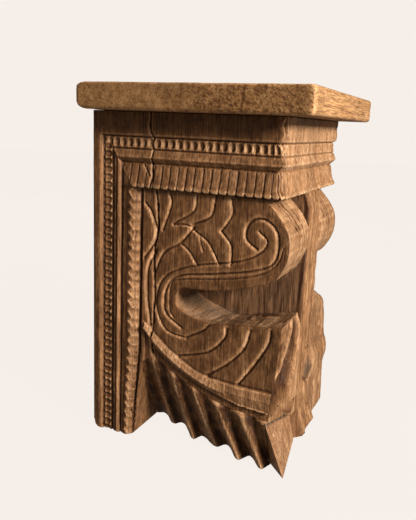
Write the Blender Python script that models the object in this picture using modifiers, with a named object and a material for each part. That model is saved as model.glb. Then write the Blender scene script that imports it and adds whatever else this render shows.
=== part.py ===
"""Carved wooden corbel bracket with a plank on top.

Every point of the block is given by three values: x across the block, s forward from its flat back
and t down from its top. The free carving is drawn on a field of DRAWN_DEPTH by DRAWN_HEIGHT and is
stretched with the block.
"""

import bpy
import bmesh
import math
from mathutils import Matrix, Vector

# Driving dimensions, in metres
BLOCK_WIDTH = 0.200
BLOCK_DEPTH = 0.200
BLOCK_HEIGHT = 0.340
MOUNT_DROP = 0.100
WEB_WIDTH = 0.044
RELIEF = 0.005
BOARD_THICKNESS = 0.025
BOARD_OVERHANG = 0.030
BOARD_ROUNDING = 0.0035
JOINT_GAP = 0.0003

# Mouldings round the head, measured down from the top
PLAIN_BAND_HEIGHT = 0.0228
BEAD_ROW_HEIGHT = 0.0128
FILLET_HEIGHT = 0.0130
TONGUE_HEIGHT = 0.0238
TONGUE_PITCH = 0.0086
TONGUE_FLARE = 0.002
TONGUE_GROOVE = 0.0014
BEAD_PITCH = 0.0076

# Upright strips beside the back, measured forward from it
EDGE_STRIP = 0.0105
BEAD_STRIP = 0.0110
FLAT_STRIP = 0.0070
RIDGE_STRIP = 0.0030
HOLLOW_STRIP = 0.0120
SAW_STRIP = 0.0120
SAW_TOOTH = 0.0065
SAW_PITCH = 0.0102
STRIP_TAPER = 0.009

# The drawing of the free carving, in millimetres
DRAWN_DEPTH = 200.0
DRAWN_HEIGHT = 340.0
LINE_DEPTH = 0.0018
CURVE_STEPS = 2
TAPER_START = 240.0

HALF = BLOCK_WIDTH / 2
SIDES = (-1, 1)

FILLET_TOP = PLAIN_BAND_HEIGHT + BEAD_ROW_HEIGHT
TONGUE_TOP = FILLET_TOP + FILLET_HEIGHT
HEAD_BOTTOM = TONGUE_TOP + TONGUE_HEIGHT

FLAT_START = EDGE_STRIP + BEAD_STRIP
RIDGE_START = FLAT_START + FLAT_STRIP
HOLLOW_START = RIDGE_START + RIDGE_STRIP
SAW_START = HOLLOW_START + HOLLOW_STRIP
STRIP_FRONT = SAW_START + SAW_STRIP

# Outlines of the carving: (s, t), with a third value of 1 at a sharp corner
SIDE_OUTLINE = [
    (48, 60, 1), (186, 60, 1), (187, 77, 1), (200, 92), (207, 106), (207, 125), (200, 141, 1),
    (202, 188, 1), (205, 192, 1), (204, 215), (200, 258), (197, 289, 1), (171, 287, 1),
    (144, 282, 1), (118, 272, 1), (94, 261, 1), (71, 246, 1), (56, 256, 1), (48, 256, 1),
]
WEB_OUTLINE = [
    (30, 10, 1), (190, 10, 1), (190, 64, 1), (200, 72), (206, 88), (206, 285), (210, 312),
    (216, 331), (206, 338, 1), (40, 339, 1),
]
MOUTH_RIM = [
    (236, 116, 1), (207, 132, 1), (190, 150), (150, 162.5), (102, 167), (96, 178), (101, 189.5),
    (132, 198), (170, 195), (205, 191.5, 1), (236, 191.5, 1),
]
MOUTH_FLOOR = [
    (236, 116, 1), (207, 132, 1), (190, 150), (150, 162.5), (102, 167), (87, 177), (89, 192),
    (130, 208), (165, 202), (200, 195, 1), (236, 191.5, 1),
]
SLANT_BAND = [
    (59, 211, 1), (75, 223), (100, 241.5), (133, 255), (165, 257), (199, 257, 1), (198, 279, 1),
    (170, 277), (130, 266), (100, 252), (76, 236), (60, 220, 1),
]

# Cut lines of the carving
CUT_LINES = {
    "spiral": [(178, 119), (167, 110), (170, 95), (184, 91), (197, 103), (196, 127), (180, 138.5),
               (140, 147.5), (100, 155), (86, 170), (86, 194), (104, 207)],
    "band": [(179, 102), (187.5, 111), (180, 123), (160, 133), (115, 143), (84, 158), (75, 185),
             (86, 211), (110, 217)],
    "lobe": [(133, 200), (126, 207), (110, 216)],
    "wing_inner": [(152, 200), (150, 210), (132, 228), (100, 238)],
    "wing_middle": [(176, 198), (171, 216), (155, 235), (133, 252)],
    "wing_outer": [(196, 195), (194, 209), (180, 234), (165, 256)],
    "vein_1": [(87, 75), (89, 86), (81, 111)],
    "vein_2": [(116, 75), (113, 90), (92, 104)],
    "vein_3": [(135, 75), (131, 93), (112, 103)],
    "vein_4": [(151, 75), (152, 90), (142, 106)],
    "vein_5": [(142, 106), (153, 119), (153, 137)],
    "vein_6": [(113, 107), (130, 119), (141, 138)],
    "vein_7": [(102, 123), (111, 130), (118, 141)],
    "stalk": [(114, 105), (100, 122), (82, 134), (73, 155)],
    "stem": [(74, 132), (65, 152), (65, 182), (69, 210)],
    "leaf": [(56, 82), (68, 95), (74, 118), (60, 142)],
}

# Flutes of the lower end: crest, hollow, crest and so on, from the back to the front.
# Each has its top (s, t, depth) and its foot (s, depth) on the underside.
FLUTES = [
    ((55, 253, 5), (46, 61)),
    ((59, 247, 7), (53, 66)),
    ((71, 243, 4), (76, 46)),
    ((80, 250, 7), (82, 54)),
    ((94, 258, 4), (110, 25)),
    ((103, 264, 7), (115, 37)),
    ((118, 269, 4), (138, 22)),
    ((128, 275, 7), (145, 33)),
    ((144, 279, 3), (168, 9)),
    ((154, 282, 7), (175, 23)),
    ((171, 284, 2), (194, 4)),
    ((181, 286, 7), (200, 19)),
]
NEAR_CORNER = ((196, 288, 1), (218, 0))
WORN_CORNER = ((196, 288, 3), (207, 5))
FLUTE_ROWS = 4
FLUTE_BELLY = 1.25
INNER_FRONT_TOP = 198.0
INNER_FRONT_FOOT = 206.0

# The break that the mended tip closes, (s, t) at the side face and beside the web
BREAK_TOP_SIDE = (196.0, 288.5)
BREAK_TOP_WEB = (199.0, 310.0)
BREAK_FOOT_SIDE = (199.5, 346.0)
BREAK_FOOT_WEB = (200.5, 346.0)
BREAK_REACH = 40.0


def spot(x, s, t):
    """A point of the block in world space."""
    return Vector((x, -s, MOUNT_DROP - t))


def drawn(s, t):
    """A point of the drawing as real distances from the back and the top."""
    return s / DRAWN_DEPTH * BLOCK_DEPTH, t / DRAWN_HEIGHT * BLOCK_HEIGHT


def across(distance):
    """A depth of the drawing, which runs across the block."""
    return distance / DRAWN_DEPTH * BLOCK_WIDTH


def clear_scene():
    for item in list(bpy.data.objects):
        bpy.data.objects.remove(item)


def new_collection(name):
    collection = bpy.data.collections.new(name)
    bpy.context.scene.collection.children.link(collection)
    return collection


def wood(name, colour, roughness):
    material = bpy.data.materials.new(name)
    material.use_nodes = True
    shader = material.node_tree.nodes["Principled BSDF"]
    shader.inputs["Base Color"].default_value = (*colour, 1.0)
    shader.inputs["Roughness"].default_value = roughness
    shader.inputs["Metallic"].default_value = 0.0
    return material


def add_object(name, mesh, collection):
    item = bpy.data.objects.new(name, mesh)
    collection.objects.link(item)
    return item


def as_tool(item):
    item.hide_render = True
    item.display_type = "WIRE"
    return item


def finish_mesh(name, bm):
    bmesh.ops.remove_doubles(bm, verts=bm.verts, dist=1e-6)
    bmesh.ops.recalc_face_normals(bm, faces=bm.faces)
    mesh = bpy.data.meshes.new(name)
    bm.to_mesh(mesh)
    bm.free()
    return mesh


def add_box(bm, x, s, t):
    """A box between pairs of x, s and t."""
    low = spot(min(x), max(s), max(t))
    high = spot(max(x), min(s), min(t))
    size = high - low
    matrix = Matrix.Translation((low + high) / 2) @ Matrix.Diagonal((*size, 1.0))
    bmesh.ops.create_cube(bm, size=1.0, matrix=matrix)


def box_object(name, x, s, t, collection):
    bm = bmesh.new()
    add_box(bm, x, s, t)
    return add_object(name, finish_mesh(name, bm), collection)


def mesh_from_curve(name, curve):
    """The curve's surface as a welded mesh, in the curve's own space."""
    holder = bpy.data.objects.new(name, curve)
    bpy.context.scene.collection.objects.link(holder)
    evaluated = holder.evaluated_get(bpy.context.evaluated_depsgraph_get())
    mesh = bpy.data.meshes.new_from_object(evaluated)
    bpy.data.objects.remove(holder)
    bm = bmesh.new()
    bm.from_mesh(mesh)
    return bm


def bezier(curve, points, closed):
    spline = curve.splines.new("BEZIER")
    spline.bezier_points.add(len(points) - 1)
    spline.use_cyclic_u = closed
    for knot, point in zip(spline.bezier_points, points):
        kind = "VECTOR" if len(point) == 3 and point[2] else "AUTO"
        s, t = drawn(point[0], point[1])
        knot.co = (s, t, 0.0)
        knot.handle_left_type = kind
        knot.handle_right_type = kind


def upright(x):
    """Turns a drawing (s, t, thickness) so that it stands across x."""
    return Matrix(((0, 0, 1, x), (-1, 0, 0, 0), (0, -1, 0, MOUNT_DROP), (0, 0, 0, 1)))


def outline_object(name, points, x, collection):
    """A flat outline of the drawing, as thick as the pair of x."""
    curve = bpy.data.curves.new(name, "CURVE")
    curve.dimensions = "2D"
    curve.fill_mode = "BOTH"
    curve.resolution_u = CURVE_STEPS + 1
    curve.extrude = abs(x[1] - x[0]) / 2
    bezier(curve, points, True)
    bm = mesh_from_curve(name, curve)
    bmesh.ops.transform(bm, matrix=upright((x[0] + x[1]) / 2), verts=bm.verts)
    return add_object(name, finish_mesh(name, bm), collection)


def line_cutter(name, points, x, collection):
    """The cutter of a carved line, half sunk in the face at x."""
    curve = bpy.data.curves.new(name, "CURVE")
    curve.dimensions = "3D"
    curve.bevel_depth = LINE_DEPTH
    curve.bevel_resolution = 0
    curve.use_fill_caps = True
    curve.resolution_u = CURVE_STEPS
    bezier(curve, points, False)
    bm = mesh_from_curve(name, curve)
    bmesh.ops.transform(bm, matrix=upright(x), verts=bm.verts)
    return as_tool(add_object(name, finish_mesh(name, bm), collection))


def loft(bm, rings):
    """Joins rings of equal length with quads and closes both ends."""
    rows = [[bm.verts.new(point) for point in ring] for ring in rings]
    count = len(rows[0])
    for lower, upper in zip(rows, rows[1:]):
        for i in range(count):
            j = (i + 1) % count
            bm.faces.new((lower[i], lower[j], upper[j], upper[i]))
    bm.faces.new(rows[0])
    bm.faces.new(rows[-1])


def moulding_object(name, levels, back, collection):
    """A moulding round three sides: levels are (t, inset), and back is where it starts."""
    rings = []
    for t, inset in levels:
        wide = HALF - inset
        front = BLOCK_DEPTH - inset
        rings.append([spot(-wide, back, t), spot(-wide, front, t), spot(wide, front, t),
                      spot(wide, back, t)])
    bm = bmesh.new()
    loft(bm, rings)
    return add_object(name, finish_mesh(name, bm), collection)


def strip_shift(t):
    """How far the strips' front edge has drawn back at t."""
    start = drawn(0, TAPER_START)[1]
    return STRIP_TAPER * max(0.0, t - start) / (BLOCK_HEIGHT - start)


def polygon_object(name, points, x, collection):
    """A flat outline of straight edges, in real distances."""
    bm = bmesh.new()
    loft(bm, [[spot(edge, s, t) for s, t in points] for edge in x])
    return add_object(name, finish_mesh(name, bm), collection)


def back_slab(collection):
    foot = BLOCK_HEIGHT
    start = drawn(0, TAPER_START)[1]
    rounding = 0.008
    points = [(0, 0), (STRIP_FRONT, 0), (STRIP_FRONT, start), (STRIP_FRONT - STRIP_TAPER, foot),
              (rounding, foot), (rounding * 0.25, foot - rounding * 0.4), (0, foot - rounding)]
    polygon_object("slab", points, (-HALF + RELIEF, HALF - RELIEF), collection)
    for side in SIDES:
        edge = [(0, 0), (EDGE_STRIP, 0), (EDGE_STRIP, foot), *points[4:]]
        polygon_object("edge_strip", edge, (side * (HALF - 2 * RELIEF), side * HALF), collection)


def upright_strips(collection):
    for side in SIDES:
        sunk = side * (HALF - 2 * RELIEF)
        flat = (sunk, side * (HALF - 0.4 * RELIEF))
        proud = (sunk, side * (HALF - 0.1 * RELIEF))
        top = FILLET_TOP + 0.2 * FILLET_HEIGHT
        box_object("flat_strip", flat, (FLAT_START + 0.002, RIDGE_START), (top, BLOCK_HEIGHT),
                   collection)
        box_object("ridge_strip", proud, (RIDGE_START, HOLLOW_START),
                   (TONGUE_TOP - 0.001, BLOCK_HEIGHT), collection)
        saw_strip(proud, collection)


def saw_strip(x, collection):
    top = HEAD_BOTTOM
    teeth = int((BLOCK_HEIGHT - top) / SAW_PITCH)
    front = STRIP_FRONT - 0.001
    points = [(front, top), (SAW_START + SAW_TOOTH, top)]
    for i in range(teeth):
        tip = top + (i + 0.35) * SAW_PITCH
        root = top + (i + 1) * SAW_PITCH
        points.append((SAW_START - strip_shift(tip) * 0.5, tip))
        points.append((SAW_START + SAW_TOOTH - strip_shift(root) * 0.7, root))
    foot = BLOCK_HEIGHT - 0.001
    points.append((front - strip_shift(foot), foot))
    points.append((front, drawn(0, TAPER_START)[1]))
    polygon_object("saw_strip", points, x, collection)


def add_bead(bm, place, outward, width, height, rise):
    """A four-sided bead standing on a face, wide along the row and high across it."""
    turn = outward.to_track_quat("Z", "Y").to_matrix().to_4x4()
    half_turn = Matrix.Rotation(math.radians(45), 4, "Z")
    scale = Matrix.Diagonal((width, height, 1.0, 1.0))
    bmesh.ops.create_cone(bm, cap_ends=True, segments=4, radius1=0.74, radius2=0.34,
                          depth=rise * 2, matrix=Matrix.Translation(place) @ turn @ scale @ half_turn)


def beads(collection):
    rise = 0.6 * RELIEF
    width = BEAD_PITCH * 0.8
    height = BEAD_ROW_HEIGHT * 0.62
    row_t = PLAIN_BAND_HEIGHT + BEAD_ROW_HEIGHT * 0.5
    strip_s = EDGE_STRIP + BEAD_STRIP * 0.5
    sink = HALF - 0.8 * RELIEF
    front = BLOCK_DEPTH - 0.8 * RELIEF
    bm = bmesh.new()
    for side in SIDES:
        outward = Vector((side, 0, 0))
        count = int((BLOCK_DEPTH - EDGE_STRIP) / BEAD_PITCH) - 1
        for i in range(count):
            s = strip_s + (i + 0.5) * BEAD_PITCH
            add_bead(bm, spot(side * sink, s, row_t), outward, height, width, rise)
        count = int((BLOCK_HEIGHT - FILLET_TOP) / BEAD_PITCH)
        for i in range(count):
            t = FILLET_TOP + (i + 0.5) * BEAD_PITCH
            add_bead(bm, spot(side * sink, strip_s, t), outward, width * 0.8, height * 0.8, rise)
    count = int((BLOCK_WIDTH - 4 * RELIEF) / BEAD_PITCH)
    for i in range(count):
        x = (i - (count - 1) / 2) * BEAD_PITCH
        add_bead(bm, spot(x, front, row_t), Vector((0, -1, 0)), width, height, rise)
    add_object("beads", finish_mesh("beads", bm), collection)


def head(collection):
    inset = RELIEF
    box_object("plain_band", (-HALF, HALF), (0, BLOCK_DEPTH), (0, PLAIN_BAND_HEIGHT), collection)
    box_object("bead_ground", (-HALF + inset, HALF - inset), (0, BLOCK_DEPTH - inset),
               (PLAIN_BAND_HEIGHT * 0.5, TONGUE_TOP + 0.002), collection)
    fillet = [(-0.06, 1.2), (0.08, 0.3), (0.35, 0.0), (0.65, 0.3), (1.04, 1.3)]
    levels = [(FILLET_TOP + share * FILLET_HEIGHT, part * inset) for share, part in fillet]
    moulding_object("fillet", levels, FLAT_START, collection)
    flare = TONGUE_FLARE
    tongue = [(-0.1, 1.1 * inset), (0.1, 0.9 * inset), (0.5, 0.5 * inset), (0.88, -flare),
              (1.0, -0.4 * flare)]
    levels = [(TONGUE_TOP + share * TONGUE_HEIGHT, out) for share, out in tongue]
    moulding_object("tongues", levels, SAW_START, collection)


def tongue_grooves(collection):
    """Thin upright cuts that part the tongues, all round the head."""
    bm = bmesh.new()
    reach = 0.45 * RELIEF
    deep = (TONGUE_TOP - 0.0005, HEAD_BOTTOM + 0.001)
    for side in SIDES:
        count = int((BLOCK_DEPTH - SAW_START) / TONGUE_PITCH)
        for i in range(count):
            s = SAW_START + (i + 0.9) * TONGUE_PITCH
            add_box(bm, (side * (HALF - RELIEF * 0.5), side * (HALF + reach + RELIEF)),
                    (s, s + TONGUE_GROOVE), deep)
    count = int(BLOCK_WIDTH / TONGUE_PITCH) - 1
    for i in range(count):
        x = (i - (count - 1) / 2) * TONGUE_PITCH
        add_box(bm, (x, x + TONGUE_GROOVE),
                (BLOCK_DEPTH - RELIEF * 0.5, BLOCK_DEPTH + RELIEF), deep)
    return as_tool(add_object("tongue_grooves", finish_mesh("tongue_grooves", bm), collection))


def fluted_side(side, corner):
    """The lower end of one side layer, a loft of fluted rows from the slant band to the underside."""
    columns = [*FLUTES, corner]
    inner = WEB_WIDTH / 2 - 0.004
    bm = bmesh.new()
    grid = []
    for row in range(FLUTE_ROWS + 1):
        share = row / FLUTE_ROWS
        outer = []
        back = []
        for top, foot in columns:
            s = top[0] + (foot[0] - top[0]) * share
            t = top[1] + (DRAWN_HEIGHT - top[1]) * share
            depth = top[2] + (foot[1] - top[2]) * share ** FLUTE_BELLY
            limit = INNER_FRONT_TOP + (INNER_FRONT_FOOT - INNER_FRONT_TOP) * share ** 2
            real = drawn(s, t)
            outer.append(bm.verts.new(spot(side * (HALF - across(depth)), *real)))
            back.append(bm.verts.new(spot(side * inner, *drawn(min(s, limit), t))))
        grid.append((outer, back))
    last = len(columns) - 1
    for (outer, back), (outer_next, back_next) in zip(grid, grid[1:]):
        for i in range(last):
            bm.faces.new((outer[i], outer[i + 1], outer_next[i + 1], outer_next[i]))
            bm.faces.new((back[i], back[i + 1], back_next[i + 1], back_next[i]))
        for i in (0, last):
            bm.faces.new((outer[i], back[i], back_next[i], outer_next[i]))
    for outer, back in (grid[0], grid[-1]):
        for i in range(last):
            bm.faces.new((outer[i], outer[i + 1], back[i + 1], back[i]))
    bmesh.ops.triangulate(bm, faces=bm.faces)
    return finish_mesh("fluted_side", bm)


def mouth_cut(side, collection):
    """The open mouth under the scroll, with its floor sloping in to the web."""
    rims = []
    for points, x in ((MOUTH_RIM, HALF + RELIEF), (MOUTH_FLOOR, WEB_WIDTH / 2)):
        curve = bpy.data.curves.new("rim", "CURVE")
        curve.dimensions = "2D"
        curve.fill_mode = "NONE"
        curve.resolution_u = CURVE_STEPS + 1
        bezier(curve, points, True)
        bm = mesh_from_curve("rim", curve)
        rims.append([spot(side * x, vert.co.x, vert.co.y) for vert in bm.verts])
        bm.free()
    bm = bmesh.new()
    loft(bm, rims)
    bmesh.ops.triangulate(bm, faces=bm.faces)
    return as_tool(add_object("mouth_cut", finish_mesh("mouth_cut", bm), collection))


def break_space(name, gap, collection):
    """The space in front of the break, drawn back from it by the gap."""
    side_x = -HALF - RELIEF
    web_x = -WEB_WIDTH / 2 - gap
    corners = []
    for x, place in ((side_x, BREAK_TOP_SIDE), (web_x, BREAK_TOP_WEB),
                     (web_x, BREAK_FOOT_WEB), (side_x, BREAK_FOOT_SIDE)):
        s, t = drawn(*place)
        corners.append((x, s + gap, t + gap))
    forward = BREAK_REACH / DRAWN_DEPTH * BLOCK_DEPTH
    bm = bmesh.new()
    loft(bm, [[spot(x, s + ahead, t) for x, s, t in corners] for ahead in (0.0, forward)])
    bmesh.ops.triangulate(bm, faces=bm.faces)
    return as_tool(add_object(name, finish_mesh(name, bm), collection))


def boolean(item, name, operation, operand):
    modifier = item.modifiers.new(name, "BOOLEAN")
    modifier.operation = operation
    modifier.solver = "EXACT"
    if isinstance(operand, bpy.types.Collection):
        modifier.operand_type = "COLLECTION"
        modifier.collection = operand
    else:
        modifier.object = operand


def corbel_block(parts, raised, cuts):
    """The whole carved block: one piece of wood."""
    web = WEB_WIDTH / 2
    block = outline_object("corbel_block", WEB_OUTLINE, (-web, web), parts)
    back_slab(raised)
    upright_strips(raised)
    head(raised)
    beads(raised)
    face = HALF - RELIEF
    for side, corner in zip(SIDES, (NEAR_CORNER, WORN_CORNER)):
        outline_object("side_layer", SIDE_OUTLINE, (side * (web - 0.003), side * face), raised)
        outline_object("slant_band", SLANT_BAND, (side * (face - RELIEF), side * (face + 0.7 * RELIEF)),
                       raised)
        add_object("fluted_side", fluted_side(side, corner), raised)
        for name, points in CUT_LINES.items():
            line_cutter(name, points, side * face, cuts)
        mouth_cut(side, cuts)
    tongue_grooves(cuts)
    break_space("break_cut", 0.0, cuts)
    for tool in raised.objects:
        as_tool(tool)
    boolean(block, "carving", "UNION", raised)
    boolean(block, "hollows", "DIFFERENCE", cuts)
    return block


def mended_tip(parts, tools):
    """The new tip let in at the lower front corner, where the old wood broke away."""
    tip = add_object("mended_tip", fluted_side(-1, NEAR_CORNER), parts)
    boolean(tip, "fit", "INTERSECT", break_space("tip_space", JOINT_GAP, tools))
    return tip


def shelf_board(parts):
    """The plank laid on the block, flush with its back."""
    wide = HALF + BOARD_OVERHANG
    board = box_object("shelf_board", (-wide, wide), (0, BLOCK_DEPTH + BOARD_OVERHANG),
                       (-JOINT_GAP, -JOINT_GAP - BOARD_THICKNESS), parts)
    bevel = board.modifiers.new("worn_edges", "BEVEL")
    bevel.width = BOARD_ROUNDING
    bevel.segments = 3
    bevel.limit_method = "ANGLE"
    return board


def main():
    clear_scene()
    parts = new_collection("corbel_bracket")
    raised = new_collection("raised_carving")
    cuts = new_collection("cutters")
    tools = new_collection("fitting_tools")
    old_wood = wood("old carved wood", (0.20, 0.105, 0.05), 0.62)
    new_wood = wood("mended wood", (0.42, 0.22, 0.11), 0.55)
    plank = wood("plank wood", (0.38, 0.21, 0.09), 0.5)
    corbel_block(parts, raised, cuts).data.materials.append(old_wood)
    mended_tip(parts, tools).data.materials.append(new_wood)
    shelf_board(parts).data.materials.append(plank)


main()
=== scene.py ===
"""The looks of the carved corbel bracket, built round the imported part.

The carving is drawn in millimetres, as in the part: x across the block, s forward from its flat back
and t down from its top. A depth is measured into the block from its outermost face.
"""
import math
import bmesh
import bpy
import numpy as np
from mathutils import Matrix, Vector


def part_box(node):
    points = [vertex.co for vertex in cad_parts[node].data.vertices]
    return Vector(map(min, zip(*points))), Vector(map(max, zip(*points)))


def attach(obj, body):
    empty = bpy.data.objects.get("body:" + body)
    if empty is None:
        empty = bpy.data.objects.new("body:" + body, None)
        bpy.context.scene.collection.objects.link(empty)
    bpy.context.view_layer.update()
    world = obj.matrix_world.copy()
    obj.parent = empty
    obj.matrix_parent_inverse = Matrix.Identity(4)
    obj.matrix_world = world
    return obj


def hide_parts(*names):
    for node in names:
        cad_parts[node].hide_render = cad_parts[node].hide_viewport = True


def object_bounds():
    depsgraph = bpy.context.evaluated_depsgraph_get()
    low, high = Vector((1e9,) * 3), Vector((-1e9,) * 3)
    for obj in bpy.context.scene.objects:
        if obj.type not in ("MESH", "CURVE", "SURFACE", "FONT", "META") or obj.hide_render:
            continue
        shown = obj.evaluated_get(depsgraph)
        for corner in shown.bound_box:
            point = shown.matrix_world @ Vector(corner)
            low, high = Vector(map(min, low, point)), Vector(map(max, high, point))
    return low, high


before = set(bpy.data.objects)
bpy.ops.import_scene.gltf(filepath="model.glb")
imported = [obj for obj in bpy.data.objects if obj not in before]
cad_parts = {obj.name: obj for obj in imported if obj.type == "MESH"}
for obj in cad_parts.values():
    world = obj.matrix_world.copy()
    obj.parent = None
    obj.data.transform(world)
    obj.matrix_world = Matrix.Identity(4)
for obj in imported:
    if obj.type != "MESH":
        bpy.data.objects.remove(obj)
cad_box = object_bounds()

# Driving dimensions, in millimetres
HALF_WIDTH = 100.0
BLOCK_DEPTH = 200.0
BLOCK_HEIGHT = 340.0
MOUNT_DROP = 100.0
WEB_HALF = 22.0
GROUND = 5.0
HEAD_END = 73.0
CORE_OVERLAP = 1.5
# How far forward the mesh of a side reaches
SIDE_REACH = 208.0
# Where the carving was drawn from: forward of the back, below the top and out from the near face
VIEW_S = 352.0
VIEW_T = 10.0
VIEW_DISTANCE = 508.0

# Mesh spacing, in millimetres
HEAD_STEP = 0.7
PANEL_STEP = 0.85
FAR_STEP = 1.1
WALL_STEP = 1.5
WEB_STEP = 1.2
BACK_STEP = 2.0
# Size of the random lattice that the noise is read from
LATTICE = 64

# Profile of the head, as (t, depth)
HEAD_PROFILE = [
    (0, 0.6), (1, 0), (21.6, 0), (22.8, 0.9), (23.6, 3.4), (24.2, 3.8), (24.8, 2.2), (34.2, 2.2),
    (34.8, 3.8), (35.4, 3.6), (36, 2.3), (42.6, 0.1), (43.4, 0.2), (45.5, 2.1), (48, 4.4),
    (48.8, 5.2), (49.4, 4.2), (52, 3.3), (60, 1.9), (66, 0.1), (69.5, -1.6), (71.4, -1.4),
    (72.2, 0.4), (73, 4.6),
]
# Profile of the upright strips, as (s, depth)
STRIP_PROFILE = [
    (0, 1.2), (0.8, 0.3), (2, 0), (8, 0), (10.6, 1.7), (11.3, 3.9), (12.6, 3.9), (13.2, 2.2),
    (20.6, 2.2), (21.4, 4.2), (23.4, 4.2), (24.2, 1.9), (28, 1.7), (28.4, 0.6), (29.2, 0.5),
    (31.6, 1.9), (32.4, 4.0), (33.4, 4.0), (34.4, 2.3), (42, 1.0), (47, 0.6), (52.0, 2.2),
    (52.6, 7.6), (54.6, 7.6), (55.8, 5.2), (57, 5),
]
STRIP_END = STRIP_PROFILE[-1][0]
# The head's sloping face, from t to t, and how far its front corners are worn round
SLOPING_FACE = (36, 43)
CORNER_ROUNDING = 4.2
CORNER_UNEVEN = 2.6
# Line on which the mouldings turn down into the strips, as (t, s)
MITRE = [(0, 0), (22.8, 9.5), (35.6, 22), (48.6, 31.5), (72, 46), (73, 60)]

BEAD_PITCH = 7.6
BEAD_ROW_T = 29.3
BEAD_ROW_S = 16.9
CUP_RADIUS = 3.5
CUP_DEPTH = 2.5
TONGUE_PITCH = 8.6
TONGUE_START = 48.6
TONGUE_FOOT = 72.8
TONGUE_ROUNDING = 3.8
SAW_PITCH = 10.2
SAW_FROM = 41.5
SAW_TO = 47.0
SAW_END = 52.1
TAPER_START = 240.0
STRIP_TAPER = 8.5

# Outline of one side layer, as (s, t, corner) and, in the mouth, the place that it slopes to at the web
OUTLINE_BACK = [
    (0, 73, 1), (0, 328, 1), (3.5, 337), (10, 340, 1), (46, 340, 1), (55.4, 258, 1), (56, 255, 1),
    (71, 247), (94, 260), (118, 271), (144, 281), (171, 286),
]
NEAR_FRONT = [
    (197, 289, 1), (200, 258), (204, 215), (205, 192, 1, 200, 196), (170, 195, 0, 165, 203),
]
FAR_FRONT = [
    (206, 289, 1), (208, 272), (204, 250), (202, 224), (196, 206, 0, 200, 196), (168, 197, 0, 165, 203),
]
OUTLINE_SCROLL = [
    (132, 198, 0, 130, 208.5), (101, 189.5, 0, 88, 192), (96, 178, 0, 87, 178), (102, 167), (125, 165),
    (150, 162), (190, 150), (200, 141), (207, 125), (207, 106), (200, 92), (187, 77), (184, 73, 1),
]

# The edge of the raised lobe on the front of a side layer, as (t, distance from the middle)
LOBE_EDGE = [(190, 39), (214, 59), (238, 73), (246, 88), (249, 104)]
# The edge of the web's flared foot beside it, as (t, distance from the middle)
FLARE_EDGE = [(190, 26), (229, 29), (244, 33), (267, 45), (297, 42), (333, 13)]
# How far forward the flared foot stands
FLARE_S = 205.2
# The knot low on the front
KNOT_X = 15.0
KNOT_T = 264.0
KNOT_HALF_WIDTH = 17.0
KNOT_HALF_HEIGHT = 21.0
# The front of a side's rim: forward of an s and above a t, but not between the scroll and the lower layer
FRONT_FROM_S = 180.0
FRONT_FOOT_T = 295.0
SCROLL_FOOT_T = 151.0
LAYER_TOP_T = 193.0
# Below this the web's foot flares
FLARE_TOP_T = 206.0
# Where the rim belongs to the mouth
MOUTH_S = (90.0, 204.0)
MOUTH_T = (160.0, 200.0)
# How far in from the face the front of a scroll steps back, and how far walls turn in beside the web
SCROLL_STEP = 74.5
WALL_TURN = 16.0
# Splits in the front of a scroll: how far in from its face they start, their lean, and the t where they end
SCROLL_SPLITS = [(24, 0.45, 124), (33, 0.4, 112), (48, 0.3, 104)]

# How far to either side a cut line is felt
LINE_REACH = 14
# Cut lines of the carving: depth, half width, how much the wood to the right is lapped under, points
CUT_LINES = [
    (1.8, 2.9, 0.5, [(178, 119), (167, 110), (170, 95), (184, 91), (197, 103), (196, 127), (180, 138.5),
                     (140, 147.5), (100, 155), (86, 170), (86, 194), (104, 207)]),
    (1.6, 2.6, 0.4, [(179, 102), (187.5, 111), (180, 123), (160, 133), (115, 143), (84, 158), (75, 185),
                     (86, 211), (110, 217)]),
    (1.2, 1.4, 0.3, [(203, 115), (198, 130), (185, 141), (160, 149), (130, 154), (100, 158.5), (91, 165),
                     (90, 190), (95, 198)]),
    (1.8, 2.7, 0.8, [(133, 200), (126, 207), (110, 216)]),
    (2.1, 3.0, 1.2, [(152, 200), (150, 210), (132, 228), (100, 238)]),
    (2.1, 3.0, 1.2, [(176, 198), (171, 216), (155, 235), (133, 252)]),
    (2.2, 3.1, 1.2, [(196, 195), (194, 209), (180, 234), (165, 256)]),
    (1.6, 2.6, 0.6, [(87, 75), (89, 86), (81, 111)]),
    (1.5, 2.5, 0.6, [(116, 75), (113, 90), (92, 104)]),
    (1.6, 2.6, 0.6, [(135, 75), (131, 93), (112, 103)]),
    (1.5, 2.5, 0.6, [(151, 75), (152, 90), (142, 106)]),
    (1.5, 2.5, 0.5, [(142, 106), (153, 119), (153, 137)]),
    (1.6, 2.5, 0.4, [(113, 107), (130, 119), (141, 138)]),
    (1.5, 2.5, 0.4, [(102, 123), (111, 130), (118, 141)]),
    (1.2, 1.6, 0.3, [(120, 112), (122, 120), (124, 127)]),
    (1.4, 2.2, 0.4, [(92, 105), (103, 103.5), (112, 105)]),
    (1.7, 2.9, 0.6, [(114, 105), (100, 122), (82, 134), (73, 155)]),
    (2.0, 3.6, 0.9, [(74, 132), (65, 152), (65, 182), (69, 210)]),
    (1.8, 3.1, 0.7, [(56, 82), (68, 95), (74, 118), (60, 142)]),
]

# The slanting band, as (s, t of its upper edge, t of its lower edge)
BAND_EDGES = [(60, 209, 219), (75, 222, 236), (87, 232, 245), (100, 241, 253), (118, 250, 262),
              (133, 255, 268), (165, 257, 277), (199, 257, 280)]
BAND_JOINTS = [(85, 236, 88, 240), (105, 246, 103, 253), (130, 256, 129, 264), (153, 258, 153, 267)]

# Drying cracks from the top down, as (s, t)
CRACKS = [
    (0.75, [(65, 0), (65, 16), (68, 24), (66, 30), (67.5, 36), (66, 48), (67, 60), (66, 72)]),
    (0.85, [(70, 73), (72, 90), (73, 105), (72, 120), (69, 130), (68.5, 150), (70, 165), (69.5, 200),
            (69, 219), (67.5, 231), (70, 247)]),
    (0.4, [(57, 50), (64, 60)]),
]

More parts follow.
